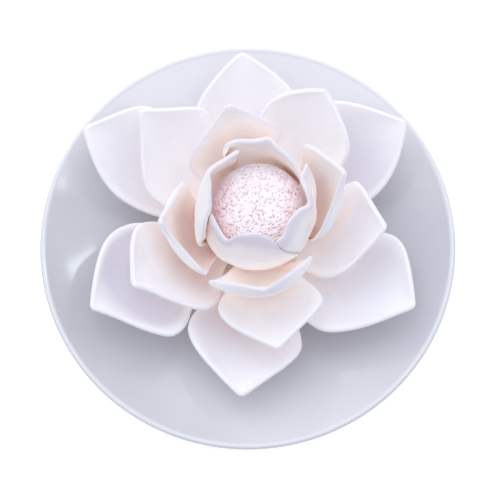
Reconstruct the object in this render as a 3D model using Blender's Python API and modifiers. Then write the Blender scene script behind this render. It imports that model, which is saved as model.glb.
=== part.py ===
"""Ceramic lotus aroma diffuser lying on a shallow glazed dish.

The dish stands on its foot ring at z = 0 with its axis on the origin. The flower rests loose on
the floor of the dish. Petals are thin shells in four rows, luted onto a stepped clay core, and
the innermost row leans over a porous dome. Metres, +Z up.
"""

from math import cos, exp, pi, radians, sin, sqrt

import bmesh
import bpy
from mathutils import Vector

MM = 0.001
GAP = 0.3 * MM  # between pieces that touch on the real object

# Dish: a coupe with a foot ring.
DISH_R = 70 * MM
DISH_H = 16 * MM
DISH_FLOOR_Z = 5 * MM
DISH_WELL_R = 30 * MM  # inside this radius the floor is flat
DISH_CURVE = 1.8  # power law of the wall outside the well
LIP_R = 1.0 * MM  # the rim is rolled to twice this thickness
LIP_START = 115  # degrees, where the wall's inner side runs into the roll
LIP_FACETS = 5
WALL_FACETS = 6
FOOT_OUTER_R = 38 * MM
FOOT_INNER_R = 34.5 * MM
FOOT_H = 2.2 * MM
FOOT_DRAFT = 1.0 * MM  # how far the ring's inner side slopes in
RECESS_Z = 1.8 * MM
DISH_STEPS = 64
AXIS_MERGE = 0.01 * MM  # points of a turned solid this close together are one

# Flower: everything below stands on the dish floor.
FLOWER_X, FLOWER_Y = 1.0 * MM, 5.3 * MM
FLOWER_BOTTOM_Z = DISH_FLOOR_Z + GAP
CORE_STEPS = 24
CORE_PAD_R = 19 * MM
CORE_NECK_R = 4.2 * MM
ROOT_CLEARANCE = 1.0  # mm, between the core and the middle of a petal's wall at its root
ROOT_DEPTH = 1.2  # mm, from there down to the step that carries the petal

# Seed head: a dome, wider than it is tall.
DOME_CENTRE = Vector((3.5, 6.5, 35.5)) * MM
DOME_R = 15.5 * MM
DOME_HALF_HEIGHT = 12 * MM
DOME_CUT = 8 * MM  # its flat underside lies this far below its centre
DOME_SEGMENTS, DOME_RINGS = 24, 14

# Grid of a petal: along its length, and from edge to edge.
PETAL_ROWS, PETAL_COLUMNS = 14, 11
TIP_HALF_WIDTH = 0.8 * MM
TIP_RADIUS = 1.3 * MM  # the point is rounded to this
TIP_FADE = 6 * MM  # and the rounding has died out this far from it
TUCK_FULL = 0.6  # share of the length from which a side is folded in by its full tuck

# Open petals, row by row. Lengths in mm and angles in degrees. Azimuths are counted
# anticlockwise from +X around the flower's axis. A pair is (anticlockwise, clockwise) side.
#   root_r, root_z  where the petal leaves the core
#   rise, pitch     slope of its midrib at the root and at the tip
#   reach, tip_z    where its tip is, from the flower's axis and from the table
#   width, widest   largest width, and the share of its length where that lies
#   neck            half width at the root
#   growth          1 widens from the neck like a sine, more keeps it narrow for longer
#   ogee            1 draws the outline in to a point, 0 closes it evenly, less rounds it out
#   fold, tip_fold  half angle of the arc across the petal, at the root and at the tip
#   tuck            further angle by which each side is folded in
#   flare           how far the edges roll back, as a share of the half width
#   lean            extra width of the anticlockwise side
#   skew            how far the anticlockwise edge is pushed towards the tip
#   swing           azimuth of the tip less that of the root
#   handle          length of both Bezier handles of the midrib, as a share of its chord
OUTER_ROW = dict(
    root_r=11, root_z=8.3, rise=4, pitch=32, width=40, widest=(0.6, 0.6), neck=5.0, growth=(1, 1),
    ogee=(0, 0), fold=50, tip_fold=40, tuck=(0, 0), flare=0.10, lean=0, skew=0, swing=0,
    handle=0.40, thickness=1.6,
)
MIDDLE_ROW = dict(
    root_r=9.5, root_z=12.3, rise=6, pitch=50, width=37, widest=(0.6, 0.6), neck=5.0, growth=(1, 1),
    ogee=(0.25, 0.25), fold=54, tip_fold=38, tuck=(0, 0), flare=0.08, lean=0, skew=0, swing=0,
    handle=0.40, thickness=1.6,
)
UPPER_ROW = dict(
    root_r=8.5, root_z=16.3, rise=13, pitch=86, width=34, widest=(0.62, 0.62), neck=5.0, growth=(1, 1),
    ogee=(0.25, 0.25), fold=54, tip_fold=50, tuck=(0, 0), flare=0.05, lean=0, skew=0, swing=0,
    handle=0.47, thickness=1.5,
)
OUTER_PETALS = (
    dict(azimuth=93, reach=58.5, tip_z=28, lean=-0.04, skew=-0.05, ogee=(-0.2, -0.3), growth=(1, 1.25)),
    dict(
        azimuth=33.5, reach=62.5, tip_z=26, widest=(0.58, 0.58), growth=(1.25, 1), ogee=(-0.3, -0.4),
        lean=0.2, skew=0.12, swing=1.5,
    ),
    dict(
        azimuth=-28.5, reach=61.5, tip_z=25, width=44, widest=(0.62, 0.58), ogee=(-0.4, -0.05),
        lean=-0.04, skew=0.1, rise=3,
    ),
    dict(azimuth=-93, reach=59, tip_z=24, width=42, widest=(0.6, 0.58), growth=(1, 1.7), skew=0.1),
    dict(
        azimuth=-150.5, reach=60.5, tip_z=25, width=46, widest=(0.66, 0.52), ogee=(0.45, -0.5), neck=4.2,
        growth=(2.4, 1), skew=-0.06, swing=1,
    ),
    dict(
        azimuth=150, reach=64.5, tip_z=26, width=36, widest=(0.65, 0.55), ogee=(-0.25, -0.7), lean=-0.15,
        skew=-0.25,
    ),
)
MIDDLE_PETALS = (
    dict(azimuth=136.5, reach=50.5, tip_z=37, ogee=(0.4, 0.15), skew=-0.2),
    dict(
        azimuth=59, reach=48, tip_z=40, width=36, widest=(0.68, 0.62), ogee=(-0.7, -0.5), lean=-0.05,
        skew=-0.15, rise=5,
    ),
    dict(
        azimuth=-6.5, reach=44.5, tip_z=36, width=36, widest=(0.64, 0.64), ogee=(0.1, 0.1), skew=0.2,
        rise=1, pitch=55,
    ),
    dict(
        azimuth=-79, reach=46, tip_z=34, width=38, widest=(0.6, 0.54), ogee=(0.1, 0), lean=0.05,
        growth=(1, 1.5), skew=0.05,
    ),
    dict(
        azimuth=-147.5, reach=45.5, tip_z=35, width=40, widest=(0.62, 0.56), ogee=(0.8, -0.6),
        growth=(1.5, 1), skew=-0.15,
    ),
)
UPPER_PETALS = (
    dict(azimuth=103.5, reach=30.8, tip_z=55.5, width=36, ogee=(0.5, -0.3), skew=-0.2, handle=0.48),
    dict(
        azimuth=15, reach=31, tip_z=54, width=37, ogee=(-0.2, 0.6), lean=0.05, skew=0.2, rise=3,
        tuck=(0, 26), handle=0.49,
    ),
    dict(
        azimuth=-80.5, reach=29, tip_z=46, width=41, widest=(0.72, 0.7), ogee=(1.0, -0.6), rise=5,
        pitch=90, fold=58, tip_fold=62, tuck=(4, -10), lean=0.04, handle=0.46,
    ),
    dict(azimuth=-166, reach=30, tip_z=50, width=39, ogee=(1.2, 0.5), tuck=(8, 16)),
)

# Cup petals: shells turned about the cup's axis, each with a wavy rim. Same units.
#   rim         its points, clockwise end first: azimuth, distance from the axis, height
#   layers      offsets outwards of the clockwise and anticlockwise half, to lap over a neighbour
#   belly_span  angles that these two halves span at the belly, as a share of those at the rim
#   dent        depth of the hollow below the rim, which makes the rim stand steeper
CUP_X, CUP_Y = 2.6 * MM, 5.5 * MM
CUP_ROOT_R = 7.0
CUP_ROOT_Z = 20.6
CUP_HANDLE_R, CUP_HANDLE_Z = 23.2, 21.6  # the meridian leaves the root towards this point
CUP_SHOULDER_R = 20.1  # and nears the rim from between this radius and the rim's
CUP_SHOULDER_SHARE = 0.88
CUP_BELLY_Z = 31.0
CUP_BELLY_AT = 0.45  # the belly's share of the length
CUP_ROOT_SPAN = 0.45  # angle that a cup petal spans at its root, as a share of that at its rim
CUP_THICKNESS = 1.4
DENT_FROM = 0.45  # share of the length where the hollow below the rim starts
LAYER_FROM, LAYER_TO = 0.2, 0.7  # shares of the length between which the offsets hold in full
CUP_PETALS = dict(
    cup_petal_back=dict(
        rim=(
            (31, 17.2, 46), (44, 17.5, 49), (67, 17.9, 53), (77, 19.5, 55), (91, 18.4, 54.5),
            (108, 19.4, 54.5), (117, 19.8, 53), (123, 18.5, 49),
        ),
        layers=(-0.9, 0.9), belly_span=(0.9, 0.9), dent=0,
    ),
    cup_petal_left=dict(
        rim=(
            (109, 16.4, 53), (128, 16, 53), (151, 17.5, 52.5), (162, 15.5, 51), (185, 14.4, 48),
            (200, 17.2, 44), (211, 19.8, 38),
        ),
        layers=(-0.9, 1.0), belly_span=(0.95, 0.95), dent=0,
    ),
    cup_petal_right=dict(
        rim=(
            (-62.4, 14.4, 45), (-53, 14.2, 46), (-34, 12.5, 48), (-12, 13.9, 48), (0, 17.2, 46),
            (11, 16.6, 48), (25, 16.2, 48.5), (36, 20.5, 50),
        ),
        layers=(0, 0.6), belly_span=(0.55, 0.62), dent=0.8,
    ),
    cup_petal_front=dict(
        rim=(
            (-168, 14.6, 44), (-151, 14.4, 44), (-128, 15.2, 44.5), (-116, 12.6, 49), (-91, 11.6, 51),
            (-76, 12.4, 49.5), (-64, 14.4, 45),
        ),
        layers=(-1.15, 0), belly_span=(1.0, 1.42), dent=1.4,
    ),
)

SHARP_ANGLE = 40  # degrees, above which an edge is shown as an edge

# Colours are linear.
PORCELAIN = dict(color=(0.62, 0.64, 0.65, 1), roughness=0.12)
PLASTER = dict(color=(0.86, 0.84, 0.84, 1), roughness=0.75)
CORE_CLAY = dict(color=(0.80, 0.72, 0.64, 1), roughness=0.85)
PINK_STONE = dict(color=(0.82, 0.62, 0.61, 1), roughness=0.90)


def clear_scene():
    for obj in list(bpy.data.objects):
        bpy.data.objects.remove(obj)


def new_material(name, color, roughness):
    material = bpy.data.materials.new(name)
    material.use_nodes = True
    shader = material.node_tree.nodes["Principled BSDF"]
    shader.inputs["Base Color"].default_value = color
    shader.inputs["Roughness"].default_value = roughness
    shader.inputs["Metallic"].default_value = 0
    material.diffuse_color = color
    return material


def add_object(name, mesh, material, collection, parent=None):
    obj = bpy.data.objects.new(name, mesh)
    mesh.materials.append(material)
    mesh.shade_smooth()
    mesh.set_sharp_from_angle(angle=radians(SHARP_ANGLE))
    collection.objects.link(obj)
    obj.parent = parent
    return obj


def turned(name, profile, steps, material, collection, parent=None):
    """A solid of revolution. The profile starts on the axis, at the top, and ends on it."""
    mesh = bpy.data.meshes.new(name)
    points = [(r, 0, z) for r, z in profile]
    mesh.from_pydata(points, [(i, i + 1) for i in range(len(points) - 1)], [])
    obj = add_object(name, mesh, material, collection, parent)
    screw = obj.modifiers.new("turn", "SCREW")
    screw.steps = screw.render_steps = steps
    screw.use_merge_vertices = True
    screw.merge_threshold = AXIS_MERGE
    screw.use_smooth_shade = True
    return obj


def wall_curve(start, end, points):
    """The dish wall from the edge of the well, level, up to the rim."""
    (r0, z0), (r1, z1) = start, end
    shares = [i / points for i in range(points + 1)]
    return [(r0 + (r1 - r0) * s, z0 + (z1 - z0) * s**DISH_CURVE) for s in shares]


def dish_profile():
    """Floor, inner wall, rolled lip, outer wall, foot ring, and the recess inside it."""
    lip_centre = (DISH_R - LIP_R, DISH_H - LIP_R)
    lip = []
    for i in range(LIP_FACETS + 1):
        a = radians(LIP_START) - pi * i / LIP_FACETS
        lip.append((lip_centre[0] + LIP_R * cos(a), lip_centre[1] + LIP_R * sin(a)))
    inner = wall_curve((DISH_WELL_R, DISH_FLOOR_Z), lip[0], WALL_FACETS)
    outer = wall_curve((FOOT_OUTER_R, FOOT_H), lip[-1], WALL_FACETS)
    foot = [(FOOT_OUTER_R, 0), (FOOT_INNER_R, 0), (FOOT_INNER_R - FOOT_DRAFT, RECESS_Z)]
    return [(0, DISH_FLOOR_Z)] + inner[:-1] + lip + outer[-2::-1] + foot + [(0, RECESS_Z)]


def core_profile():
    """A pad on the dish floor, then a step for the roots of each row of petals, then a neck."""
    top_z = DOME_CENTRE.z - DOME_CUT - GAP
    hub_rs = [(row["root_r"] - ROOT_CLEARANCE) * MM for row in (UPPER_ROW, MIDDLE_ROW, OUTER_ROW)]
    root_zs = [CUP_ROOT_Z, UPPER_ROW["root_z"], MIDDLE_ROW["root_z"], OUTER_ROW["root_z"]]
    radii = [CORE_NECK_R, *hub_rs, CORE_PAD_R]
    profile = [(0, top_z), (CORE_NECK_R, top_z)]
    for upper_r, lower_r, root_z in zip(radii, radii[1:], root_zs):
        step_z = (root_z - ROOT_DEPTH) * MM
        profile += [(upper_r, step_z), (lower_r, step_z)]
    return profile + [(CORE_PAD_R, FLOWER_BOTTOM_Z), (0, FLOWER_BOTTOM_Z)]


def seed_head(material, collection, parent):
    bm = bmesh.new()
    bmesh.ops.create_uvsphere(bm, u_segments=DOME_SEGMENTS, v_segments=DOME_RINGS, radius=DOME_R)
    bmesh.ops.scale(bm, vec=(1, 1, DOME_HALF_HEIGHT / DOME_R), verts=bm.verts)
    whole = bm.verts[:] + bm.edges[:] + bm.faces[:]
    cut = bmesh.ops.bisect_plane(
        bm, geom=whole, plane_co=(0, 0, -DOME_CUT), plane_no=(0, 0, -1), clear_outer=True
    )
    rim = [edge for edge in cut["geom_cut"] if isinstance(edge, bmesh.types.BMEdge)]
    bmesh.ops.holes_fill(bm, edges=rim)
    mesh = bpy.data.meshes.new("seed_head")
    bm.to_mesh(mesh)
    bm.free()
    obj = add_object("seed_head", mesh, material, collection, parent)
    obj.location = DOME_CENTRE - parent.location
    return obj


def bezier(points, t):
    a, b, c, d = points
    s = 1 - t
    return s**3 * a + 3 * s * s * t * b + 3 * s * t * t * c + t**3 * d


def bezier_direction(points, t):
    a, b, c, d = points
    s = 1 - t
    return (s * s * (b - a) + 2 * s * t * (c - b) + t * t * (d - c)).normalized()


def smoothstep(x):
    x = min(max(x, 0), 1)
    return x * x * (3 - 2 * x)


def half_width(petal, side, length, t):
    """Half width of one side at share t of the length: grows from the neck, then closes to the tip."""
    full = petal["width"] * MM / 2
    neck = petal["neck"] * MM
    widest = petal["widest"][side]
    if t < widest:
        return neck + (full - neck) * sin(t / widest * pi / 2) ** petal["growth"][side]
    u = (t - widest) / (1 - widest)
    rounded = cos(u * pi / 2)
    pointed = (1 + cos(u * pi)) / 2
    closing = full * min(max(rounded + (pointed - rounded) * petal["ogee"][side], 0), 1)
    to_tip = (1 - t) * length
    rounding = 2 * TIP_RADIUS * to_tip * exp(-to_tip / TIP_FADE)
    return max(sqrt(closing**2 + rounding), TIP_HALF_WIDTH)


def petal_midrib(petal):
    """Bezier points of the midrib, and its outward direction in plan."""
    azimuth = radians(petal["azimuth"])
    root_azimuth = radians(petal["azimuth"] - petal["swing"])
    root = Vector((cos(root_azimuth), sin(root_azimuth), 0)) * petal["root_r"]
    root.z = petal["root_z"]
    tip = Vector((cos(azimuth), sin(azimuth), 0)) * petal["reach"]
    tip.z = petal["tip_z"]
    outward = Vector((tip.x - root.x, tip.y - root.y, 0)).normalized()
    handle = (tip - root).length * petal["handle"]
    rise, pitch = radians(petal["rise"]), radians(petal["pitch"])
    up = Vector((0, 0, 1))
    first = root + (outward * cos(rise) + up * sin(rise)) * handle
    second = tip - (outward * cos(pitch) + up * sin(pitch)) * handle
    return [point * MM for point in (root, first, second, tip)], outward


def petal_point(petal, t, v):
    """A point of an open petal: t from root to tip, v from its clockwise edge to the other."""
    midrib, outward = petal_midrib(petal)
    length = (midrib[-1] - midrib[0]).length
    along = bezier_direction(midrib, t)
    across = Vector((-outward.y, outward.x, 0))
    inward = along.cross(across).normalized()
    left, right = (half_width(petal, side, length, t) for side in (0, 1))
    share = (1 + sin(v * pi / 2)) / 2
    width = (right + (left - right) * share) * (1 + petal["lean"] * v)
    tuck_left, tuck_right = petal["tuck"]
    tuck = (tuck_right + (tuck_left - tuck_right) * share) * smoothstep(t / TUCK_FULL)
    fold = radians(petal["fold"] + (petal["tip_fold"] - petal["fold"]) * t + tuck)
    bulge = sin(pi * t)
    side = width * sin(fold * v) / fold
    lift = width * (1 - cos(fold * v)) / fold
    lift -= petal["flare"] * width * max(2 * abs(v) - 1, 0) ** 2 * bulge
    shift = petal["skew"] * width * v * bulge
    return bezier(midrib, t) + across * side + inward * lift + along * shift


def rim_slopes(rim, column):
    """Slopes of a curve through the rim's points that doesn't swing past any of them."""
    steps = [(b[column] - a[column]) / (b[0] - a[0]) for a, b in zip(rim, rim[1:])]
    inner = [2 * a * b / (a + b) if a * b > 0 else 0 for a, b in zip(steps, steps[1:])]
    return [steps[0], *inner, steps[-1]]


def along_rim(rim, column, azimuth):
    """Distance from the axis (column 1) or height (column 2) of the rim at an azimuth."""
    slopes = rim_slopes(rim, column)
    i = 0
    while i < len(rim) - 2 and azimuth > rim[i + 1][0]:
        i += 1
    a, b = rim[i], rim[i + 1]
    step = b[0] - a[0]
    s = (azimuth - a[0]) / step
    blend = smoothstep(s)
    leave = (s**3 - 2 * s**2 + s) * step * slopes[i]
    arrive = (s**3 - s**2) * step * slopes[i + 1]
    return a[column] * (1 - blend) + b[column] * blend + leave + arrive


def cup_point(petal, t, v):
    """A point of a cup petal: t from root to rim, v from its clockwise end to the other."""
    rim = petal["rim"]
    centre = (rim[0][0] + rim[-1][0]) / 2
    half = (rim[-1][0] - rim[0][0]) / 2
    rim_r = along_rim(rim, 1, centre + v * half)
    rim_z = along_rim(rim, 2, centre + v * half)
    shoulder_r = rim_r + (CUP_SHOULDER_R - rim_r) * CUP_SHOULDER_SHARE
    shoulder_z = (CUP_BELLY_Z + rim_z) / 2
    r = bezier((CUP_ROOT_R, CUP_HANDLE_R, shoulder_r, rim_r), t)
    z = bezier((CUP_ROOT_Z, CUP_HANDLE_Z, shoulder_z, rim_z), t)
    r -= petal["dent"] * sin(pi * max(t - DENT_FROM, 0) / (1 - DENT_FROM)) ** 2 * (1 - v * v)
    share = (1 + sin(v * pi / 2)) / 2
    clockwise, anticlockwise = petal["layers"]
    layer = clockwise + (anticlockwise - clockwise) * share
    r += layer * min(t / LAYER_FROM, 1) * (1 - smoothstep((t - LAYER_TO) / (1 - LAYER_TO)))
    clockwise, anticlockwise = petal["belly_span"]
    belly = clockwise + (anticlockwise - clockwise) * share
    span = CUP_ROOT_SPAN + (belly - CUP_ROOT_SPAN) * sin(min(t / CUP_BELLY_AT, 1) * pi / 2)
    span += (1 - belly) * smoothstep((t - CUP_BELLY_AT) / (1 - CUP_BELLY_AT))
    azimuth = radians(centre + v * half * span)
    return Vector((r * cos(azimuth), r * sin(azimuth), z)) * MM


def shell(name, surface, thickness, location, material, collection, parent):
    """A petal: a grid over surface(t, v), made solid by half its thickness to each side."""
    bm = bmesh.new()
    grid = []
    for i in range(PETAL_ROWS):
        t = i / (PETAL_ROWS - 1)
        row = [surface(t, 2 * j / (PETAL_COLUMNS - 1) - 1) for j in range(PETAL_COLUMNS)]
        grid.append([bm.verts.new(point) for point in row])
    for near, far in zip(grid, grid[1:]):
        for j in range(PETAL_COLUMNS - 1):
            bm.faces.new((near[j], far[j], far[j + 1], near[j + 1]))
    mesh = bpy.data.meshes.new(name)
    bm.to_mesh(mesh)
    bm.free()
    obj = add_object(name, mesh, material, collection, parent)
    obj.location = Vector(location) - parent.location
    solidify = obj.modifiers.new("thickness", "SOLIDIFY")
    solidify.thickness = thickness * MM
    solidify.offset = 0
    solidify.use_even_offset = True
    return obj


def open_row(prefix, row, petals, material, collection, parent):
    for number, petal in enumerate(petals, start=1):
        shape = {**row, **petal}
        shell(
            f"{prefix}_{number}", lambda t, v: petal_point(shape, t, v), shape["thickness"],
            (FLOWER_X, FLOWER_Y, 0), material, collection, parent,
        )


def cup_row(material, collection, parent):
    for name, petal in CUP_PETALS.items():
        shell(
            name, lambda t, v: cup_point(petal, t, v), CUP_THICKNESS, (CUP_X, CUP_Y, 0),
            material, collection, parent,
        )


def main():
    clear_scene()
    collection = bpy.data.collections.new("lotus_diffuser")
    bpy.context.scene.collection.children.link(collection)
    porcelain = new_material("glazed_porcelain", **PORCELAIN)
    plaster = new_material("matt_plaster", **PLASTER)
    clay = new_material("core_clay", **CORE_CLAY)
    stone = new_material("pink_porous_stone", **PINK_STONE)

    turned("dish", dish_profile(), DISH_STEPS, porcelain, collection)

    flower = bpy.data.objects.new("flower_lift_axis", None)
    flower.location = (FLOWER_X, FLOWER_Y, 0)
    collection.objects.link(flower)
    turned("receptacle", core_profile(), CORE_STEPS, clay, collection, flower)
    open_row("outer_petal", OUTER_ROW, OUTER_PETALS, plaster, collection, flower)
    open_row("middle_petal", MIDDLE_ROW, MIDDLE_PETALS, plaster, collection, flower)
    open_row("upper_petal", UPPER_ROW, UPPER_PETALS, plaster, collection, flower)
    cup_row(plaster, collection, flower)
    seed_head(stone, collection, flower)


main()
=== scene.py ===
"""Looks of the lotus aroma diffuser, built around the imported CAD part.

Every piece is a finely meshed stand-in for one CAD node, on the same surfaces: petals with
rounded rims, a pitted seed head, a smooth glazed dish and a lumpy clay core. Metres, +Z up.
"""

from math import cos, pi, radians, sin, sqrt

import bpy
import numpy as np
from mathutils import Matrix, Vector, noise
from mathutils.bvhtree import BVHTree


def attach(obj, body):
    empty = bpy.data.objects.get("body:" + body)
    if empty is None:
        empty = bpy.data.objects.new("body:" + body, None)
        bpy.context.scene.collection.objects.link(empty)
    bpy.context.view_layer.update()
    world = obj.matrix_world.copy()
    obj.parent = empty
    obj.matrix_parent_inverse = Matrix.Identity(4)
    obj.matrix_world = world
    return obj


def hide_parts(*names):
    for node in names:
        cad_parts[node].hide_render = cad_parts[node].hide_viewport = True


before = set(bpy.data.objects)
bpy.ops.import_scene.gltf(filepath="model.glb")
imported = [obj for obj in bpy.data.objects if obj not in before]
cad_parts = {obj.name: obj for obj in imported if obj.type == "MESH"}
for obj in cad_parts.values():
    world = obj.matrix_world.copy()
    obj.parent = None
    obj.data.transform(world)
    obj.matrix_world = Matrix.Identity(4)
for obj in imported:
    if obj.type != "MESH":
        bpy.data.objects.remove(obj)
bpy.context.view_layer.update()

MM = 0.001

# Dish, as in the CAD source.
DISH_R = 70 * MM
DISH_H = 16 * MM
DISH_FLOOR_Z = 5 * MM
DISH_WELL_R = 30 * MM
DISH_CURVE = 1.8  # power by which the wall steepens outwards
LIP_R = 1.0 * MM
FOOT_OUTER_R = 38 * MM
FOOT_INNER_R = 34.5 * MM
FOOT_H = 2.2 * MM
FOOT_DRAFT = 1.0 * MM
RECESS_Z = 1.8 * MM
LIP_START = 115  # degrees, where the wall's inner side runs into the rolled lip
DISH_STEPS = 192
FLOOR_RINGS, INNER_RINGS, LIP_RINGS, OUTER_RINGS = 6, 40, 14, 30
FOOT_ROUND = 0.45 * MM  # of the foot ring's corners

# Flower, as in the CAD source. Lengths in mm and angles in degrees.
FLOWER_X, FLOWER_Y = 1.0, 5.3
GAP = 0.3
CORE_PAD_R = 19.0
CORE_NECK_R = 4.2
CORE_STEPS = 96
CORE_ROUND = 0.6
CORE_SHRINK = 0.12  # least distance of the lumpy core inside the CAD one
CORE_LUMP, CORE_LUMP_LENGTH = 0.25, 5.0
ROOT_CLEARANCE = 1.0  # from the core's steps to the roots, sideways
ROOT_DEPTH = 1.2  # and down
DOME_CENTRE = (3.5, 6.5, 35.5)
DOME_R = 15.5
DOME_HALF_HEIGHT = 12.0
DOME_CUT = 8.0
TIP_HALF_WIDTH = 0.4
TIP_RADIUS = 1.3
TIP_FADE = 6.0  # the tip's rounding fades over this length
TUCK_FULL = 0.6  # share of the length from which a tuck holds in full

# Open petals, row by row. Azimuths are counted anticlockwise from +X around the flower's axis.
# A pair is (anticlockwise, clockwise) side.
#   root_r, root_z  where the petal leaves the core
#   rise, pitch     slope of its midrib at the root and at the tip
#   reach, tip_z    where its tip is, from the flower's axis and from the table
#   width, widest   largest width, and the share of its length where that lies
#   neck            half width at the root
#   growth          1 widens from the neck like a sine, more keeps it narrow for longer
#   ogee            1 draws the outline in to a point, 0 closes it evenly, less rounds it out
#   fold, tip_fold  half angle of the arc across the petal, at the root and at the tip
#   tuck            further angle by which each side is folded in
#   flare           how far the edges roll back, as a share of the half width
#   lean            extra width of the anticlockwise side
#   skew            how far the anticlockwise edge is pushed towards the tip
#   swing           azimuth of the tip less that of the root
#   handle          length of both Bezier handles of the midrib, as a share of its chord
OUTER_ROW = dict(
    root_r=11, root_z=8.3, rise=4, pitch=32, width=40, widest=(0.6, 0.6), neck=5.0, growth=(1, 1),
    ogee=(0, 0), fold=50, tip_fold=40, tuck=(0, 0), flare=0.10, lean=0, skew=0, swing=0,
    handle=0.40, thickness=1.6,
)
MIDDLE_ROW = dict(
    root_r=9.5, root_z=12.3, rise=6, pitch=50, width=37, widest=(0.6, 0.6), neck=5.0, growth=(1, 1),
    ogee=(0.25, 0.25), fold=54, tip_fold=38, tuck=(0, 0), flare=0.08, lean=0, skew=0, swing=0,
    handle=0.40, thickness=1.6,
)
UPPER_ROW = dict(
    root_r=8.5, root_z=16.3, rise=13, pitch=86, width=34, widest=(0.62, 0.62), neck=5.0, growth=(1, 1),
    ogee=(0.25, 0.25), fold=54, tip_fold=50, tuck=(0, 0), flare=0.05, lean=0, skew=0, swing=0,
    handle=0.47, thickness=1.5,
)
OUTER_PETALS = (
    dict(azimuth=93, reach=58.5, tip_z=28, lean=-0.04, skew=-0.05, ogee=(-0.2, -0.3), growth=(1, 1.25)),
    dict(
        azimuth=33.5, reach=62.5, tip_z=26, widest=(0.58, 0.58), growth=(1.25, 1), ogee=(-0.3, -0.4),
        lean=0.2, skew=0.12, swing=1.5,
    ),
    dict(
        azimuth=-28.5, reach=61.5, tip_z=25, width=44, widest=(0.62, 0.58), ogee=(-0.4, -0.05),
        lean=-0.04, skew=0.1, rise=3,
    ),
    dict(azimuth=-93, reach=59, tip_z=24, width=42, widest=(0.6, 0.58), growth=(1, 1.7), skew=0.1),
    dict(
        azimuth=-150.5, reach=60.5, tip_z=25, width=46, widest=(0.66, 0.52), neck=4.2, ogee=(0.45, -0.5),
        growth=(2.4, 1), skew=-0.06, swing=1,
    ),
    dict(
        azimuth=150, reach=64.5, tip_z=26, width=36, widest=(0.65, 0.55), ogee=(-0.25, -0.7), lean=-0.15,
        skew=-0.25,
    ),
)
MIDDLE_PETALS = (
    dict(azimuth=136.5, reach=50.5, tip_z=37, ogee=(0.4, 0.15), skew=-0.2),
    dict(
        azimuth=59, reach=48, tip_z=40, width=36, widest=(0.68, 0.62), ogee=(-0.7, -0.5), lean=-0.05,
        skew=-0.15, rise=5,
    ),
    dict(
        azimuth=-6.5, reach=44.5, tip_z=36, width=36, widest=(0.64, 0.64), ogee=(0.1, 0.1), skew=0.2,
        rise=1, pitch=55,
    ),
    dict(
        azimuth=-79, reach=46, tip_z=34, width=38, widest=(0.6, 0.54), ogee=(0.1, 0), lean=0.05,
        growth=(1, 1.5), skew=0.05,
    ),
    dict(
        azimuth=-147.5, reach=45.5, tip_z=35, width=40, widest=(0.62, 0.56), ogee=(0.8, -0.6),
        growth=(1.5, 1), skew=-0.15,
    ),
)
UPPER_PETALS = (
    dict(azimuth=103.5, reach=30.8, tip_z=55.5, width=36, ogee=(0.5, -0.3), skew=-0.2, handle=0.48),
    dict(
        azimuth=15, reach=31, tip_z=54, width=37, ogee=(-0.2, 0.6), lean=0.05, skew=0.2, rise=3,
        tuck=(0, 26), handle=0.49,
    ),
    dict(
        azimuth=-80.5, reach=29, tip_z=46, width=41, widest=(0.72, 0.7), ogee=(1.0, -0.6), rise=5,
        pitch=90, fold=58, tip_fold=62, tuck=(4, -10), lean=0.04, handle=0.46,
    ),
    dict(azimuth=-166, reach=30, tip_z=50, width=39, ogee=(1.2, 0.5), tuck=(8, 16)),
)

CUP_X, CUP_Y = 2.6, 5.5
CUP_ROOT_R = 7.0
CUP_ROOT_Z = 20.6
CUP_HANDLE_R, CUP_HANDLE_Z = 23.2, 21.6  # the meridian leaves the root towards this point
CUP_SHOULDER_R = 20.1  # and nears the rim from between this radius and the rim's
CUP_SHOULDER_SHARE = 0.88
CUP_BELLY_Z = 31.0
CUP_BELLY_AT = 0.45  # the belly's share of the length
CUP_ROOT_SPAN = 0.45  # angle that a cup petal spans at its root, as a share of that at its rim
CUP_THICKNESS = 1.4
DENT_FROM = 0.45  # share of the length where the hollow below the rim starts
LAYER_FROM, LAYER_TO = 0.2, 0.7  # shares of the length between which the layers hold in full

# Petals of the cup. Azimuths are counted round the cup's own axis, and rise along each rim.
# A pair is (clockwise, anticlockwise) edge.
#   rim         azimuths, distances from the cup's axis and heights of points on the rim
#   layers      how far the sheet lies outside the common surface of the cup
#   belly_span  angle spanned at the belly, as a share of that at the rim
#   dent        depth of the hollow below the rim
CUP_PETALS = dict(
    cup_petal_back=dict(
        rim=(
            (31, 17.2, 46), (44, 17.5, 49), (67, 17.9, 53), (77, 19.5, 55), (91, 18.4, 54.5),
            (108, 19.4, 54.5), (117, 19.8, 53), (123, 18.5, 49),
        ),
        layers=(-0.9, 0.9), belly_span=(0.9, 0.9), dent=0,
    ),
    cup_petal_left=dict(
        rim=(
            (109, 16.4, 53), (128, 16, 53), (151, 17.5, 52.5), (162, 15.5, 51), (185, 14.4, 48),
            (200, 17.2, 44), (211, 19.8, 38),
        ),
        layers=(-0.9, 1.0), belly_span=(0.95, 0.95), dent=0,
    ),
    cup_petal_right=dict(
        rim=(
            (-62.4, 14.4, 45), (-53, 14.2, 46), (-34, 12.5, 48), (-12, 13.9, 48), (0, 17.2, 46),
            (11, 16.6, 48), (25, 16.2, 48.5), (36, 20.5, 50),
        ),
        layers=(0, 0.6), belly_span=(0.55, 0.62), dent=0.8,
    ),
    cup_petal_front=dict(
        rim=(
            (-168, 14.6, 44), (-151, 14.4, 44), (-128, 15.2, 44.5), (-116, 12.6, 49), (-91, 11.6, 51),
            (-76, 12.4, 49.5), (-64, 14.4, 45),
        ),
        layers=(-1.15, 0), belly_span=(1.0, 1.42), dent=1.4,
    ),
)

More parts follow.
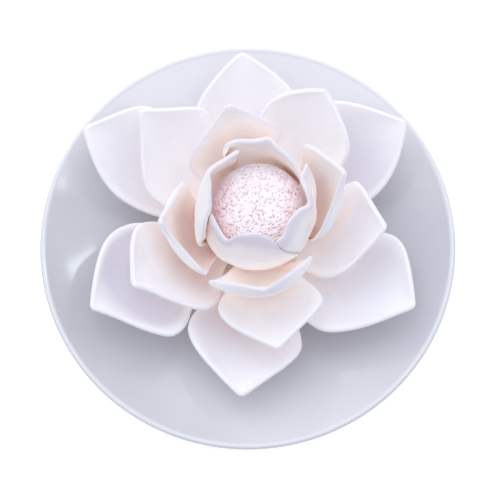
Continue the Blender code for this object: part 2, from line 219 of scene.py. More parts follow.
# Fine meshes of the petals.
PETAL_ROWS, PETAL_COLUMNS = 50, 33
TIP_CROWDING = 1.6  # power by which the rows of the grid crowd towards the tip
RIM_ROUND = 0.9  # mm over which a petal's wall rounds off to its edge
RIM_SWELL, RIM_SWELL_WIDTH = 0.05, 5.0  # the wall is thicker by this share, so near the rim
WOBBLE, WOBBLE_LENGTH = 0.35, 17.0  # mm, uneven shaping by hand
WOBBLE_FROM, WOBBLE_FADE = 0.35, 0.4  # shares of the length
WOBBLE_STEPS = (7.31, 3.17, 5.71)  # from one petal's part of the noise to the next one's

# The right and the front cup petal are smoothed together along their common edge, so that no
# crease shows there. Pairs are (clockwise, anticlockwise) edge.
SEAM_ROUND = 0.1
SEAM_LAP = 0.008  # by which each reaches past the seam, as a share of its half width
SEAM_WIDTH = 1.2
SEAM_OPENNESS = 0.7
EDGE_ROUNDS = dict(cup_petal_right=(SEAM_ROUND, RIM_ROUND), cup_petal_front=(RIM_ROUND, SEAM_ROUND))
EDGE_LAPS = dict(cup_petal_right=(SEAM_LAP, 0), cup_petal_front=(0, SEAM_LAP))

# Painted warm shade in a petal's hollow, on its inner face, strongest at the root.
HOLLOW_TO = 0.72  # share of the length where it ends
HOLLOW_FADE = 0.36
HOLLOW_SHADES = dict(
    middle_petal_5=0.95, upper_petal_4=1.0, upper_petal_2=0.75, outer_petal_4=0.4, outer_petal_5=0.15,
    cup_petal_back=0.2, cup_petal_left=0.1, cup_petal_right=0.2, upper_petal_1=0.5,
    middle_petal_3=0.05, middle_petal_1=0.1,
)

# Painted cool shade over the middle of an inner face. Pairs are (clockwise, anticlockwise) side.
MARGIN = 0.36  # share of the half width and of the length over which it fades to the edges
SHADES = dict(
    outer_petal_5=(2.6, 0.9), outer_petal_6=(0.4, 0.6), outer_petal_2=(0.9, 0.6),
    outer_petal_4=(0.6, 0.3), middle_petal_3=(0.4, 0.4), outer_petal_3=(0.3, 0.7),
    middle_petal_1=(0.1, 0.1), cup_petal_left=(0.3, 0.3), cup_petal_right=(0.5, 0.3),
    middle_petal_2=(0.2, 0.1), outer_petal_1=(0.1, 0.2), middle_petal_4=(0.2, 0.2),
)

# The same painted shade on outer faces below the rim, and on every rim, on its inner and its outer face.
LIP_FROM, LIP_FADE = 0.72, 0.24  # shares of the length
LIP_SHADES = dict(
    cup_petal_front=(1.1, 1.2), cup_petal_right=(1.3, 0.3), upper_petal_3=(0.5, 1.2),
    cup_petal_left=(0.3, 0.1), upper_petal_4=(0.3, 0.3), upper_petal_2=(0.6, 0.3),
)
RIM_SHADE, RIM_UNDER = 0.25, 0.65
RIM_SHADE_WIDTH = 1.6  # mm

# Camera: it looks down steeply, and aims a little below and to the right of the rim's centre.
CAMERA_ELEVATION = 75.0
CAMERA_DISTANCE = 0.750
CAMERA_LENS = 160.4
CAMERA_SENSOR = 36.0
AIM_RIGHT, AIM_DOWN = 0.741 * MM, 2.239 * MM


def smoothstep(x):
    x = np.clip(x, 0, 1)
    return x * x * (3 - 2 * x)


# ---------------------------------------------------------------- petal surfaces


def bezier(points, t):
    a, b, c, d = points
    s = 1 - t
    return s**3 * a + 3 * s * s * t * b + 3 * s * t * t * c + t**3 * d


def bezier_direction(points, t):
    a, b, c, d = points
    s = 1 - t
    along = s * s * (b - a) + 2 * s * t * (c - b) + t * t * (d - c)
    return along / np.linalg.norm(along, axis=-1, keepdims=True)


def half_width(petal, side, length, t):
    """Half width of one side at shares t of the length: grows from the neck, then closes to the tip."""
    full = petal["width"] / 2
    neck = petal["neck"]
    widest = petal["widest"][side]
    growing = neck + (full - neck) * np.sin(np.minimum(t / widest, 1) * pi / 2) ** petal["growth"][side]
    u = np.clip((t - widest) / (1 - widest), 0, 1)
    rounded = np.cos(u * pi / 2)
    pointed = (1 + np.cos(u * pi)) / 2
    closing = full * np.clip(rounded + (pointed - rounded) * petal["ogee"][side], 0, 1)
    to_tip = (1 - t) * length
    rounding = 2 * TIP_RADIUS * to_tip * np.exp(-to_tip / TIP_FADE)
    closing = np.maximum(np.sqrt(closing**2 + rounding), TIP_HALF_WIDTH)
    return np.where(t < widest, growing, closing)


def unit(azimuth):
    return np.array((cos(radians(azimuth)), sin(radians(azimuth)), 0.0))


def petal_surface(petal, t, v):
    """Points of an open petal, in mm, from the flower's axis."""
    root = unit(petal["azimuth"] - petal["swing"]) * petal["root_r"]
    root[2] = petal["root_z"]
    tip = unit(petal["azimuth"]) * petal["reach"]
    tip[2] = petal["tip_z"]
    outward = np.array((tip[0] - root[0], tip[1] - root[1], 0))
    outward /= np.linalg.norm(outward)
    up = np.array((0, 0, 1.0))
    handle = np.linalg.norm(tip - root) * petal["handle"]
    rise, pitch = radians(petal["rise"]), radians(petal["pitch"])
    first = root + (outward * cos(rise) + up * sin(rise)) * handle
    second = tip - (outward * cos(pitch) + up * sin(pitch)) * handle
    midrib = (root, first, second, tip)

    t3 = t[..., None]
    along = bezier_direction(midrib, t3)
    across = np.array((-outward[1], outward[0], 0.0))
    inward = np.cross(along, across)
    inward /= np.linalg.norm(inward, axis=-1, keepdims=True)
    length = np.linalg.norm(tip - root)
    left, right = (half_width(petal, side, length, t) for side in (0, 1))
    share = (1 + np.sin(v * pi / 2)) / 2
    width = (right + (left - right) * share) * (1 + petal["lean"] * v)
    tuck_left, tuck_right = petal["tuck"]
    tuck = (tuck_right + (tuck_left - tuck_right) * share) * smoothstep(t / TUCK_FULL)
    fold = np.radians(petal["fold"] + (petal["tip_fold"] - petal["fold"]) * t + tuck)
    bulge = np.sin(pi * t)
    side = width * np.sin(fold * v) / fold
    lift = width * (1 - np.cos(fold * v)) / fold
    lift = lift - petal["flare"] * width * np.maximum(2 * abs(v) - 1, 0) ** 2 * bulge
    shift = petal["skew"] * width * v * bulge
    side, lift, shift = side[..., None], lift[..., None], shift[..., None]
    return bezier(midrib, t3) + across * side + inward * lift + along * shift


def rim_slopes(rim, column):
    """Slopes of a curve through the rim's points that doesn't swing past any of them."""
    steps = [(b[column] - a[column]) / (b[0] - a[0]) for a, b in zip(rim, rim[1:])]
    inner = [2 * a * b / (a + b) if a * b > 0 else 0 for a, b in zip(steps, steps[1:])]
    return np.array([steps[0], *inner, steps[-1]])


def along_rim(rim, column, azimuth):
    """Distance from the axis (column 1) or height (column 2) of the rim at azimuths."""
    knots = np.array(rim, float)
    slopes = rim_slopes(rim, column)
    i = np.clip(np.searchsorted(knots[:, 0], azimuth) - 1, 0, len(rim) - 2)
    step = knots[i + 1, 0] - knots[i, 0]
    s = (azimuth - knots[i, 0]) / step
    blend = smoothstep(s)
    leave = (s**3 - 2 * s**2 + s) * step * slopes[i]
    arrive = (s**3 - s**2) * step * slopes[i + 1]
    return knots[i, column] * (1 - blend) + knots[i + 1, column] * blend + leave + arrive


def cup_surface(petal, t, v):
    """Points of a cup petal, in mm, from the cup's axis."""
    rim = petal["rim"]
    centre = (rim[0][0] + rim[-1][0]) / 2
    half = (rim[-1][0] - rim[0][0]) / 2
    rim_r = along_rim(rim, 1, centre + v * half)
    rim_z = along_rim(rim, 2, centre + v * half)
    shoulder_r = rim_r + (CUP_SHOULDER_R - rim_r) * CUP_SHOULDER_SHARE
    shoulder_z = (CUP_BELLY_Z + rim_z) / 2
    r = bezier((CUP_ROOT_R, CUP_HANDLE_R, shoulder_r, rim_r), t)
    z = bezier((CUP_ROOT_Z, CUP_HANDLE_Z, shoulder_z, rim_z), t)
    dented = np.sin(pi * np.maximum(t - DENT_FROM, 0) / (1 - DENT_FROM)) ** 2 * (1 - v * v)
    r = r - petal["dent"] * dented
    share = (1 + np.sin(v * pi / 2)) / 2
    clockwise, anticlockwise = petal["layers"]
    layer = clockwise + (anticlockwise - clockwise) * share
    fade = 1 - smoothstep((t - LAYER_TO) / (1 - LAYER_TO))
    r = r + layer * np.minimum(t / LAYER_FROM, 1) * fade
    clockwise, anticlockwise = petal["belly_span"]
    belly = clockwise + (anticlockwise - clockwise) * share
    span = CUP_ROOT_SPAN + (belly - CUP_ROOT_SPAN) * np.sin(np.minimum(t / CUP_BELLY_AT, 1) * pi / 2)
    span = span + (1 - belly) * smoothstep((t - CUP_BELLY_AT) / (1 - CUP_BELLY_AT))
    azimuth = np.radians(centre + v * half * span)
    return np.stack([r * np.cos(azimuth), r * np.sin(azimuth), z], axis=-1)


# ---------------------------------------------------------------- meshes


def normals_of(points):
    """Unit normals of a grid of points, on the side that faces into the flower."""
    along = np.gradient(points, axis=0)
    across = np.gradient(points, axis=1)
    normal = np.cross(along, across)
    return normal / np.maximum(np.linalg.norm(normal, axis=-1, keepdims=True), 1e-9)


def rounding(distance, radius):
    """Share of the full thickness at this distance from the edge."""
    x = np.clip(distance / radius, 0, 1)
    return np.sqrt(np.maximum(1 - (1 - x) ** 2, 0))


def edge_distances(points):
    """Distances, over the surface, to the clockwise, the anticlockwise and the tip edge."""
    steps = np.linalg.norm(np.diff(points, axis=1), axis=-1)
    from_first = np.concatenate([np.zeros((len(points), 1)), np.cumsum(steps, axis=1)], axis=1)
    from_last = from_first[:, -1:] - from_first
    steps = np.linalg.norm(np.diff(points, axis=0), axis=-1)[::-1]
    tip = np.concatenate([np.zeros((1, points.shape[1])), np.cumsum(steps, axis=0)])[::-1]
    return from_first, from_last, tip


def wobble(points, seed):
    """Slow unevenness of a hand-shaped sheet, from -1 to 1."""
    shift = Vector([seed * step for step in WOBBLE_STEPS])
    flat = [noise.noise(Vector(p) / WOBBLE_LENGTH + shift) for p in points.reshape(-1, 3)]
    return np.array(flat).reshape(points.shape[:2])


def grid_parameters():
    """t and v of a petal's grid, closer together towards the tip and the side edges."""
    u = np.linspace(0, 1, PETAL_ROWS)
    t = 1 - (1 - u) ** TIP_CROWDING
    v = np.sin(np.linspace(-1, 1, PETAL_COLUMNS) * pi / 2)
    return np.meshgrid(t, v, indexing="ij")


def between(ends, v):
    """A value for the clockwise edge and one for the other, blended across a petal."""
    return ends[0] + (ends[1] - ends[0]) * (1 + v) / 2


def petal_shade_masks(node, t, v, edges, edge_rounds):
    """Painted shade of a petal by name, each for its inner and its outer face, from 0 to 1 or more, and
    a mask of its seam.
    """
    from_first, from_last, tip = edges
    rim = 1 - smoothstep(np.minimum(np.minimum(from_first, from_last), tip) / RIM_SHADE_WIDTH)
    # painted warm shade in the hollow, towards the root
    hollow_shade = smoothstep((HOLLOW_TO - t) / HOLLOW_FADE) * (1 - 0.5 * v * v) * HOLLOW_SHADES.get(node, 0)
    middle_part = smoothstep((1 - np.abs(v)) / MARGIN) * smoothstep((1 - t) / MARGIN)
    # painted cool shade over the middle of the inner face
    shade = between(SHADES.get(node, (0, 0)), v) * middle_part
    # painted shade on the outer face below the rim
    lip = smoothstep((t - LIP_FROM) / LIP_FADE) * between(LIP_SHADES.get(node, (0, 0)), v)
    seam = (1 - smoothstep(from_first / SEAM_WIDTH)) * (edge_rounds[0] < RIM_ROUND)
    seam = seam + (1 - smoothstep(from_last / SEAM_WIDTH)) * (edge_rounds[1] < RIM_ROUND)
    return dict(
        hollow_shade=(hollow_shade, 0 * hollow_shade),
        shade=(np.maximum(shade, RIM_SHADE * rim), np.maximum(lip, RIM_UNDER * rim)),
        seam=(seam, seam),
    )


def petal_faces(inner_at, outer_at):
    """Faces over the numbers of the inner and the outer points, which are shared at the edges."""
    faces = []
    rows, columns = inner_at.shape
    for i in range(rows - 1):
        for j in range(columns - 1):
            near, far = inner_at[i], inner_at[i + 1]
            faces.append((near[j], far[j], far[j + 1], near[j + 1]))
            near, far = outer_at[i], outer_at[i + 1]
            faces.append((near[j], near[j + 1], far[j + 1], far[j]))
    for j in range(columns - 1):
        ends = (inner_at[0, j], inner_at[0, j + 1], outer_at[0, j + 1], outer_at[0, j])
        faces.append(tuple(dict.fromkeys(ends)))
    return faces


def petal_mesh(node, surface, thickness, centre, seed):
    """A closed sheet over the surface, with rounded edges."""
    edge_rounds = EDGE_ROUNDS.get(node, (RIM_ROUND, RIM_ROUND))
    laps = EDGE_LAPS.get(node, (0, 0))
    t, v = grid_parameters()
    middle = surface(t, v * (1 + between(laps, v)))
    normal = normals_of(middle)
    edges = edge_distances(middle)
    from_first, from_last, tip = edges
    uneven = wobble(middle, seed) * WOBBLE * smoothstep((t - WOBBLE_FROM) / WOBBLE_FADE)
    middle = middle + normal * uneven[..., None]
    to_edge = np.minimum(np.minimum(from_first, from_last), tip)
    swollen = 1 + RIM_SWELL * (1 - smoothstep(to_edge / RIM_SWELL_WIDTH))
    sides = rounding(from_first, edge_rounds[0]) * rounding(from_last, edge_rounds[1])
    half = thickness / 2 * swollen * sides * rounding(tip, RIM_ROUND)
    inner = middle + normal * half[..., None]
    outer = middle - normal * half[..., None]

    inner_at = np.arange(t.size).reshape(t.shape)
    outer_at = inner_at + t.size
    outer_at[:, 0] = inner_at[:, 0]
    outer_at[:, -1] = inner_at[:, -1]
    outer_at[-1, :] = inner_at[-1, :]
    points = np.concatenate([inner.reshape(-1, 3), outer.reshape(-1, 3)])
    points = (points + np.array(centre)) * MM
    mesh, used = compact_mesh(node + "_look", points, petal_faces(inner_at, outer_at))
    for tone, inner_and_outer in petal_shade_masks(node, t, v, edges, edge_rounds).items():
        values = np.concatenate([side.reshape(-1) for side in inner_and_outer])
        add_attribute(mesh, tone, values[used])
    return mesh


def add_attribute(mesh, name, values):
    attribute = mesh.attributes.new(name, "FLOAT", "POINT")
    attribute.data.foreach_set("value", np.asarray(values, np.float32))


def compact_mesh(name, points, faces):
    """A mesh of the points that the faces use, and the numbers of those points."""
    used = sorted({index for face in faces for index in face})
    place = {old: new for new, old in enumerate(used)}
    mesh = bpy.data.meshes.new(name)
    mesh.from_pydata(
        [tuple(points[i]) for i in used], [], [tuple(place[i] for i in face) for face in faces]
    )
    mesh.validate()
    mesh.shade_smooth()
    return mesh, used


def faces_between(rings, steps):
    """Faces between rings of point numbers. A ring of one point is a pole."""
    faces = []
    for upper, lower in zip(rings, rings[1:]):
        for k in range(steps):
            n = (k + 1) % steps
            corners = ((upper, k), (lower, k), (lower, n), (upper, n))
            faces.append(tuple(dict.fromkeys(ring[at % len(ring)] for ring, at in corners)))
    return faces


def turned_mesh(name, profile, steps, move=None):
    """A closed solid of revolution. Its profile starts on the axis, above, and ends there, below."""
    points, rings = [], []
    for r, z in profile:
        if r == 0:
            rings.append([len(points)])
            points.append((0, 0, z))
            continue
        rings.append(list(range(len(points), len(points) + steps)))
        for k in range(steps):
            a = 2 * pi * k / steps
            p = Vector((r * cos(a), r * sin(a), z))
            points.append(tuple(move(p) if move else p))
    return compact_mesh(name, np.array(points), faces_between(rings, steps))[0]


ROUND_FACETS = 5
ROUND_ROOM = 2.2  # a curve takes up at most this part of a side


def rounded_profile(corners, radius):
    """The profile with each inner corner replaced by a short curve."""
    made = [corners[0]]
    for before, corner, after in zip(corners, corners[1:], corners[2:]):
        p, q, s = Vector(before), Vector(corner), Vector(after)
        reach = min(radius, (p - q).length / ROUND_ROOM, (s - q).length / ROUND_ROOM)
        start, end = q + (p - q).normalized() * reach, q + (s - q).normalized() * reach
        for i in range(ROUND_FACETS + 1):
            u = i / ROUND_FACETS
            made.append(tuple(start * (1 - u) ** 2 + q * 2 * u * (1 - u) + end * u * u))
    return made + [corners[-1]]


def dish_profile():
    """Floor, inner wall, rolled lip, outer wall, foot ring, and the recess inside it."""
    centre_r, centre_z = DISH_R - LIP_R, DISH_H - LIP_R
    lip = []
    for i in range(LIP_RINGS + 1):
        a = radians(LIP_START) - pi * i / LIP_RINGS
        lip.append((centre_r + LIP_R * cos(a), centre_z + LIP_R * sin(a)))

    def wall(start, end, count):
        (r0, z0), (r1, z1) = start, end
        shares = [i / count for i in range(count + 1)]
        return [(r0 + (r1 - r0) * s, z0 + (z1 - z0) * s**DISH_CURVE) for s in shares]

    floor = [(DISH_WELL_R * k / FLOOR_RINGS, DISH_FLOOR_Z) for k in range(FLOOR_RINGS)]
    inner = wall((DISH_WELL_R, DISH_FLOOR_Z), lip[0], INNER_RINGS)
    outer = wall((FOOT_OUTER_R, FOOT_H), lip[-1], OUTER_RINGS)[-2::-1]
    foot = [(FOOT_OUTER_R, 0), (FOOT_INNER_R, 0), (FOOT_INNER_R - FOOT_DRAFT, RECESS_Z), (0, RECESS_Z)]
    return floor + inner[:-1] + lip + outer + rounded_profile([outer[-1], *foot], FOOT_ROUND)[1:]


def core_profile():
    """A pad on the dish floor, then a step for the roots of each row of petals, then a neck."""
    top_z = DOME_CENTRE[2] - DOME_CUT - GAP
    hub_rs = [row["root_r"] - ROOT_CLEARANCE for row in (UPPER_ROW, MIDDLE_ROW, OUTER_ROW)]
    root_zs = [CUP_ROOT_Z, UPPER_ROW["root_z"], MIDDLE_ROW["root_z"], OUTER_ROW["root_z"]]
    radii = [CORE_NECK_R, *hub_rs, CORE_PAD_R]
    profile = [(0, top_z), (CORE_NECK_R, top_z)]
    for upper_r, lower_r, root_z in zip(radii, radii[1:], root_zs):
        profile += [(upper_r, root_z - ROOT_DEPTH), (lower_r, root_z - ROOT_DEPTH)]
    bottom_z = DISH_FLOOR_Z / MM + GAP
    return profile + [(CORE_PAD_R, bottom_z), (0, bottom_z)]


def lumpy(p):
    """A point of the core, moved in a little, as on clay shaped by hand."""
    uneven = noise.noise(p / CORE_LUMP_LENGTH) * CORE_LUMP
    inward = 1 - (CORE_SHRINK + abs(uneven)) / max(Vector((p.x, p.y, 0)).length, 1)
    return Vector((p.x * inward, p.y * inward, p.z))


def core_mesh():
    mesh = turned_mesh("clay_core", rounded_profile(core_profile(), CORE_ROUND), CORE_STEPS, lumpy)
    mesh.transform(Matrix.Translation((FLOWER_X * MM, FLOWER_Y * MM, 0)) @ Matrix.Scale(MM, 4))
    return mesh


# ---------------------------------------------------------------- seed head

DOME_RINGS, DOME_STEPS = 130, 380
PIT_LENGTH = 0.95  # mm, from pit to pit
PIT_DEPTH = 0.8  # mm
PIT_FLOOR, PIT_SIDE = 0.12, 0.5  # widths of a pit's floor and side, in pit lengths
FLOOR_RELIEF, RIDGE_RELIEF = 0.12, 0.82  # relief of a pit's floor, and what a ridge adds to it
WORN, WORN_SCALE = 0.6, 1.3  # ridges are worn down, or stand out, by up to so much
FINE, FINE_SCALE = 0.12, 3.1  # finer roughness everywhere
WARP, WARP_LENGTH = 0.8, 2.3  # mm, by which pits are moved out of line
LUMP, LUMP_LENGTH = 0.25, 6.0  # mm, unevenness of the whole dome


def pitted(p):
    """Relief of the seed head at a point in mm: 0 in a pit, 1 on a ridge."""
    along, across = Vector((9, 0, 0)), Vector((0, 9, 0))
    q = p / WARP_LENGTH
    warp = Vector((noise.noise(q), noise.noise(q + along), noise.noise(q - across)))
    q = (p + warp * WARP) / PIT_LENGTH
    nearest = noise.voronoi(q)[0][0]
    ridge = min(max((nearest - PIT_FLOOR) / PIT_SIDE, 0), 1)
    worn = noise.noise(q * WORN_SCALE) * WORN
    fine = noise.noise(q * FINE_SCALE) * FINE
    risen = RIDGE_RELIEF * ridge * ridge * (3 - 2 * ridge)
    return min(max(risen + FLOOR_RELIEF + worn * ridge + fine, 0), 1)


def dome_point(a, b):
    """A point of the dome at a latitude and a longitude, and its relief."""
    sizes = Vector((DOME_R, DOME_R, DOME_HALF_HEIGHT))
    base = Vector((cos(a) * cos(b), cos(a) * sin(b), sin(a))) * sizes
    out = Vector([x / size**2 for x, size in zip(base, sizes)]).normalized()
    value = pitted(base)
    lump = noise.noise(base / LUMP_LENGTH) * LUMP - LUMP
    return base + out * (lump - PIT_DEPTH * (1 - value)), value


def dome_mesh():
    rings, made = [[0]], [dome_point(pi / 2, 0)]
    for a in np.linspace(pi / 2, np.arcsin(-DOME_CUT / DOME_HALF_HEIGHT), DOME_RINGS)[1:]:
        rings.append(list(range(len(made), len(made) + DOME_STEPS)))
        made += [dome_point(a, 2 * pi * k / DOME_STEPS) for k in range(DOME_STEPS)]
    rings.append([len(made)])
    made.append((Vector((0, 0, -DOME_CUT)), 0.5))
    places = np.array([tuple(point + Vector(DOME_CENTRE)) for point, value in made]) * MM
    mesh = compact_mesh("porous_dome", places, faces_between(rings, DOME_STEPS))[0]
    add_attribute(mesh, "relief", [value for point, value in made])
    return mesh


# ---------------------------------------------------------------- hollows

RAY_COUNT = 24
RAY_LENGTH = 30 * MM
RAY_START = 0.25 * MM  # above the surface
RAY_POWER = 1.5  # with more, a neighbour at some distance closes a place more
GOLDEN_ANGLE = pi * (3 - sqrt(5))


def ray_directions():
    """Directions over a hemisphere round +Z, more of them near the pole, as the light falls."""
    made = []
    for k in range(RAY_COUNT):
        share = (k + 0.5) / RAY_COUNT
        radius = sqrt(share)
        a = k * GOLDEN_ANGLE
        made.append(Vector((radius * cos(a), radius * sin(a), sqrt(1 - share))))
    return made


# The openness sets the painted shade and glow of the plaster's creases and hollows.
def mark_hollows(objects):
    """Stores how open each vertex is to its surroundings: 1 in the open, 0 in a closed crease."""
    points, polygons = [], []
    for obj in objects:
        start = len(points)
        points += [tuple(v.co) for v in obj.data.vertices]
        polygons += [tuple(start + i for i in p.vertices) for p in obj.data.polygons]
    tree = BVHTree.FromPolygons(points, polygons)
    rays = ray_directions()
    for obj in objects:
        if obj.name in ("glazed_dish", "porous_dome"):
            continue
        normals = obj.data.vertex_normals
        values = np.zeros(len(obj.data.vertices), np.float32)
        for index, vertex in enumerate(obj.data.vertices):
            normal = normals[index].vector
            turn = normal.to_track_quat("Z", "Y").to_matrix()
            origin = vertex.co + normal * RAY_START
            seen = 0.0
            for ray in rays:
                hit = tree.ray_cast(origin, turn @ ray, RAY_LENGTH)
                seen += 1 if hit[0] is None else (hit[3] / RAY_LENGTH) ** RAY_POWER
            values[index] = seen / RAY_COUNT
        if "seam" in obj.data.attributes:
            seam = np.zeros(len(values), np.float32)
            obj.data.attributes["seam"].data.foreach_get("value", seam)
            values = np.maximum(values, seam * SEAM_OPENNESS)
        add_attribute(obj.data, "openness", values)


# ---------------------------------------------------------------- materials


class Nodes:
    """A material's node tree, with short ways to add to it."""

    def __init__(self, name):
        self.material = bpy.data.materials.new(name)
        self.material.use_nodes = True
        self.tree = self.material.node_tree
        self.shader = self.tree.nodes["Principled BSDF"]
        self.place = self.add("ShaderNodeTexCoord").outputs["Object"]

    def add(self, kind, **settings):
        node = self.tree.nodes.new(kind)
        for key, value in settings.items():
            setattr(node, key, value)
        return node

    def feed(self, socket, value):
        if isinstance(value, bpy.types.NodeSocket):
            self.tree.links.new(value, socket)
        else:
            socket.default_value = value

    def noise(self, scale, detail, roughness=0.5):
        node = self.add("ShaderNodeTexNoise")
        self.feed(node.inputs["Vector"], self.place)
        node.inputs["Scale"].default_value = scale
        node.inputs["Detail"].default_value = detail
        node.inputs["Roughness"].default_value = roughness
        return node.outputs["Fac"]

    def attribute(self, name):
        return self.add("ShaderNodeAttribute", attribute_name=name).outputs["Fac"]

    def ramp(self, value, *stops):
        node = self.add("ShaderNodeValToRGB")
        node.color_ramp.interpolation = "EASE"
        self.feed(node.inputs["Fac"], value)
        while len(node.color_ramp.elements) < len(stops):
            node.color_ramp.elements.new(0.5)
        for element, (position, colour) in zip(node.color_ramp.elements, stops):
            element.position = position
            element.color = (*colour, 1)
        return node.outputs["Color"]

    def scale_to(self, value, low, high, new_low, new_high):
        node = self.add("ShaderNodeMapRange")
        names = ("Value", "From Min", "From Max", "To Min", "To Max")
        for key, item in zip(names, (value, low, high, new_low, new_high)):
            self.feed(node.inputs[key], item)
        return node.outputs["Result"]

    def axes(self):
        """X, Y and Z of the place on the piece."""
        node = self.add("ShaderNodeSeparateXYZ")
        self.feed(node.inputs[0], self.place)
        return node.outputs

    def vector_math(self, operation, first, second=(0, 0, 0)):
        node = self.add("ShaderNodeVectorMath", operation=operation)
        self.feed(node.inputs[0], first)
        self.feed(node.inputs[1], second)
        return node.outputs

    def math(self, operation, first, second):
        node = self.add("ShaderNodeMath", operation=operation)
        self.feed(node.inputs[0], first)
        self.feed(node.inputs[1], second)
        return node.outputs[0]

    def mix(self, factor, first, second, blend="MIX"):
        node = self.add("ShaderNodeMix", data_type="RGBA", blend_type=blend)
        self.feed(node.inputs["Factor"], factor)
        for socket, value in ((node.inputs[6], first), (node.inputs[7], second)):
            self.feed(socket, value if isinstance(value, bpy.types.NodeSocket) else (*value, 1))
        return node.outputs[2]

    def bump(self, height, distance, strength, normal=None):
        node = self.add("ShaderNodeBump")
        self.feed(node.inputs["Height"], height)
        node.inputs["Distance"].default_value = distance
        node.inputs["Strength"].default_value = strength
        if normal:
            self.feed(node.inputs["Normal"], normal)
        return node.outputs["Normal"]

    def finish(self, **inputs):
        for key, value in inputs.items():
            self.feed(self.shader.inputs[key.replace("_", " ")], value)
        return self.material


GLOW = 0.15  # painted light: a warm glow in the half-closed hollows, standing in for light that thin petals pass on into them


def plaster_material():
    n = Nodes("matt_plaster_look")
    openness = n.attribute("openness")
    uneven = n.scale_to(n.noise(170, 2), 0.35, 0.65, -0.01, 0.01)
    # Painted light and shade by openness: brown-orange in the tightest creases, where shade and warm
    # bounce light fall, palest in half-open hollows, greyer on open rims and tips.
    colour = n.ramp(
        n.math("ADD", openness, uneven),
        (0.04, (0.58, 0.33, 0.23)),
        (0.14, (0.93, 0.76, 0.66)),
        (0.28, (0.965, 0.92, 0.90)),
        (0.60, (0.89, 0.875, 0.90)),
        (0.97, (0.82, 0.825, 0.87)),
    )
    # Painted warm shade in the petals' hollows.
    colour = n.mix(n.attribute("hollow_shade"), colour, (0.70, 0.585, 0.565), "MULTIPLY")
    # Painted cool shade over the middles of inner faces, below the rims and on the rims.
    colour = n.mix(n.attribute("shade"), colour, (0.76, 0.76, 0.83), "MULTIPLY")
    # Painted light: the glow in the hollows.
    glow = n.math(
        "MULTIPLY", n.scale_to(openness, 0.06, 0.22, 0, 1), n.scale_to(openness, 0.22, 0.65, GLOW, 0)
    )
    mottled = n.scale_to(n.noise(60, 4, 0.6), 0.3, 0.7, 0.0, 0.05)
    colour = n.mix(mottled, colour, (0.80, 0.78, 0.80))
    grain = n.bump(n.noise(2600, 2, 0.6), 0.04 * MM, 0.5)
    smoothed = n.bump(n.noise(210, 3, 0.5), 0.25 * MM, 0.35, grain)
    roughness = n.scale_to(n.noise(400, 2), 0.3, 0.7, 0.55, 0.72)
    return n.finish(
        Base_Color=colour, Roughness=roughness, Normal=smoothed, Subsurface_Weight=0.35,
        Subsurface_Radius=(4.0 * MM, 2.6 * MM, 2.1 * MM), Subsurface_Scale=1.0, Specular_IOR_Level=0.35,
        Emission_Color=(1.0, 0.84, 0.82, 1), Emission_Strength=glow,
    )


STONE_GLOW = 0.05  # painted light: a faint pink glow over the whole stone, to lighten its flanks where they turn from the light
LOW_SHADE = (35.0 * MM, 45.5 * MM)  # heights over which painted shade fades upwards, the stone darker and pinker below
FLANK_SHADE = (7 * MM, 14 * MM)  # distances over which painted shade turns it darker and pinker to the left and right


def stone_material():
    n = Nodes("pink_porous_stone_look")
    place = n.axes()
    uneven = n.scale_to(n.noise(90, 2), 0.3, 0.7, -2 * MM, 2 * MM)
    low = n.scale_to(n.math("ADD", place["Z"], uneven), *LOW_SHADE, 0.15, 0)
    sideways = n.math("ABSOLUTE", n.math("SUBTRACT", place["X"], DOME_CENTRE[0] * MM), 0)
    flank = n.scale_to(n.math("ADD", sideways, uneven), *FLANK_SHADE, 0, 0.75)
    # Painted shade: deeper-coloured pits towards the flanks.
    relief = n.math("SUBTRACT", n.attribute("relief"), n.math("MULTIPLY", flank, 0.22))
    # Painted shade in the pits: darker and pinker where the relief is low.
    colour = n.ramp(
        relief,
        (0.06, (0.52, 0.32, 0.35)),
        (0.32, (0.76, 0.61, 0.66)),
        (0.58, (0.88, 0.82, 0.87)),
        (0.92, (0.90, 0.87, 0.93)),
    )
    speckle = n.scale_to(n.noise(1500, 3, 0.6), 0.45, 0.75, 0, 0.25)
    colour = n.mix(speckle, colour, (0.88, 0.72, 0.73))
    # Painted shade: darker and pinker low down and on the flanks.
    colour = n.mix(n.math("MAXIMUM", low, flank), colour, (0.92, 0.70, 0.69), "MULTIPLY")
    grain = n.bump(n.noise(2200, 3, 0.65), 0.12 * MM, 0.6)
    return n.finish(
        Base_Color=colour, Roughness=0.9, Normal=grain, Subsurface_Weight=0.1,
        Subsurface_Radius=(2.0 * MM, 0.8 * MM, 0.6 * MM), Subsurface_Scale=1.0, Specular_IOR_Level=0.2,
        Emission_Color=(1.0, 0.82, 0.83, 1), Emission_Strength=STONE_GLOW,
    )


def clay_material():
    n = Nodes("core_clay_look")
    colour = n.mix(n.noise(260, 4, 0.6), (0.95, 0.82, 0.71), (0.90, 0.73, 0.60))
    grain = n.bump(n.noise(1800, 4, 0.7), 0.2 * MM, 0.7)
    return n.finish(Base_Color=colour, Roughness=0.88, Normal=grain, Specular_IOR_Level=0.25)


LIP_HIGHLIGHT = (67.8 * MM, 68.6 * MM)  # radii over which a painted highlight lightens the glaze towards the lip
LIP_EDGE_SHADE = (69.4 * MM, 69.9 * MM)  # radii over which painted shade darkens the lip's outer edge
BARE_FOOT = (0.2 * MM, 0.5 * MM)  # heights over which the foot ring's glaze starts
SHADED_SIDE = (-0.72, -0.69, 0)  # painted shade: the glaze is darker in this direction from the middle
SHADED_FROM_TO = (44 * MM, 62 * MM)


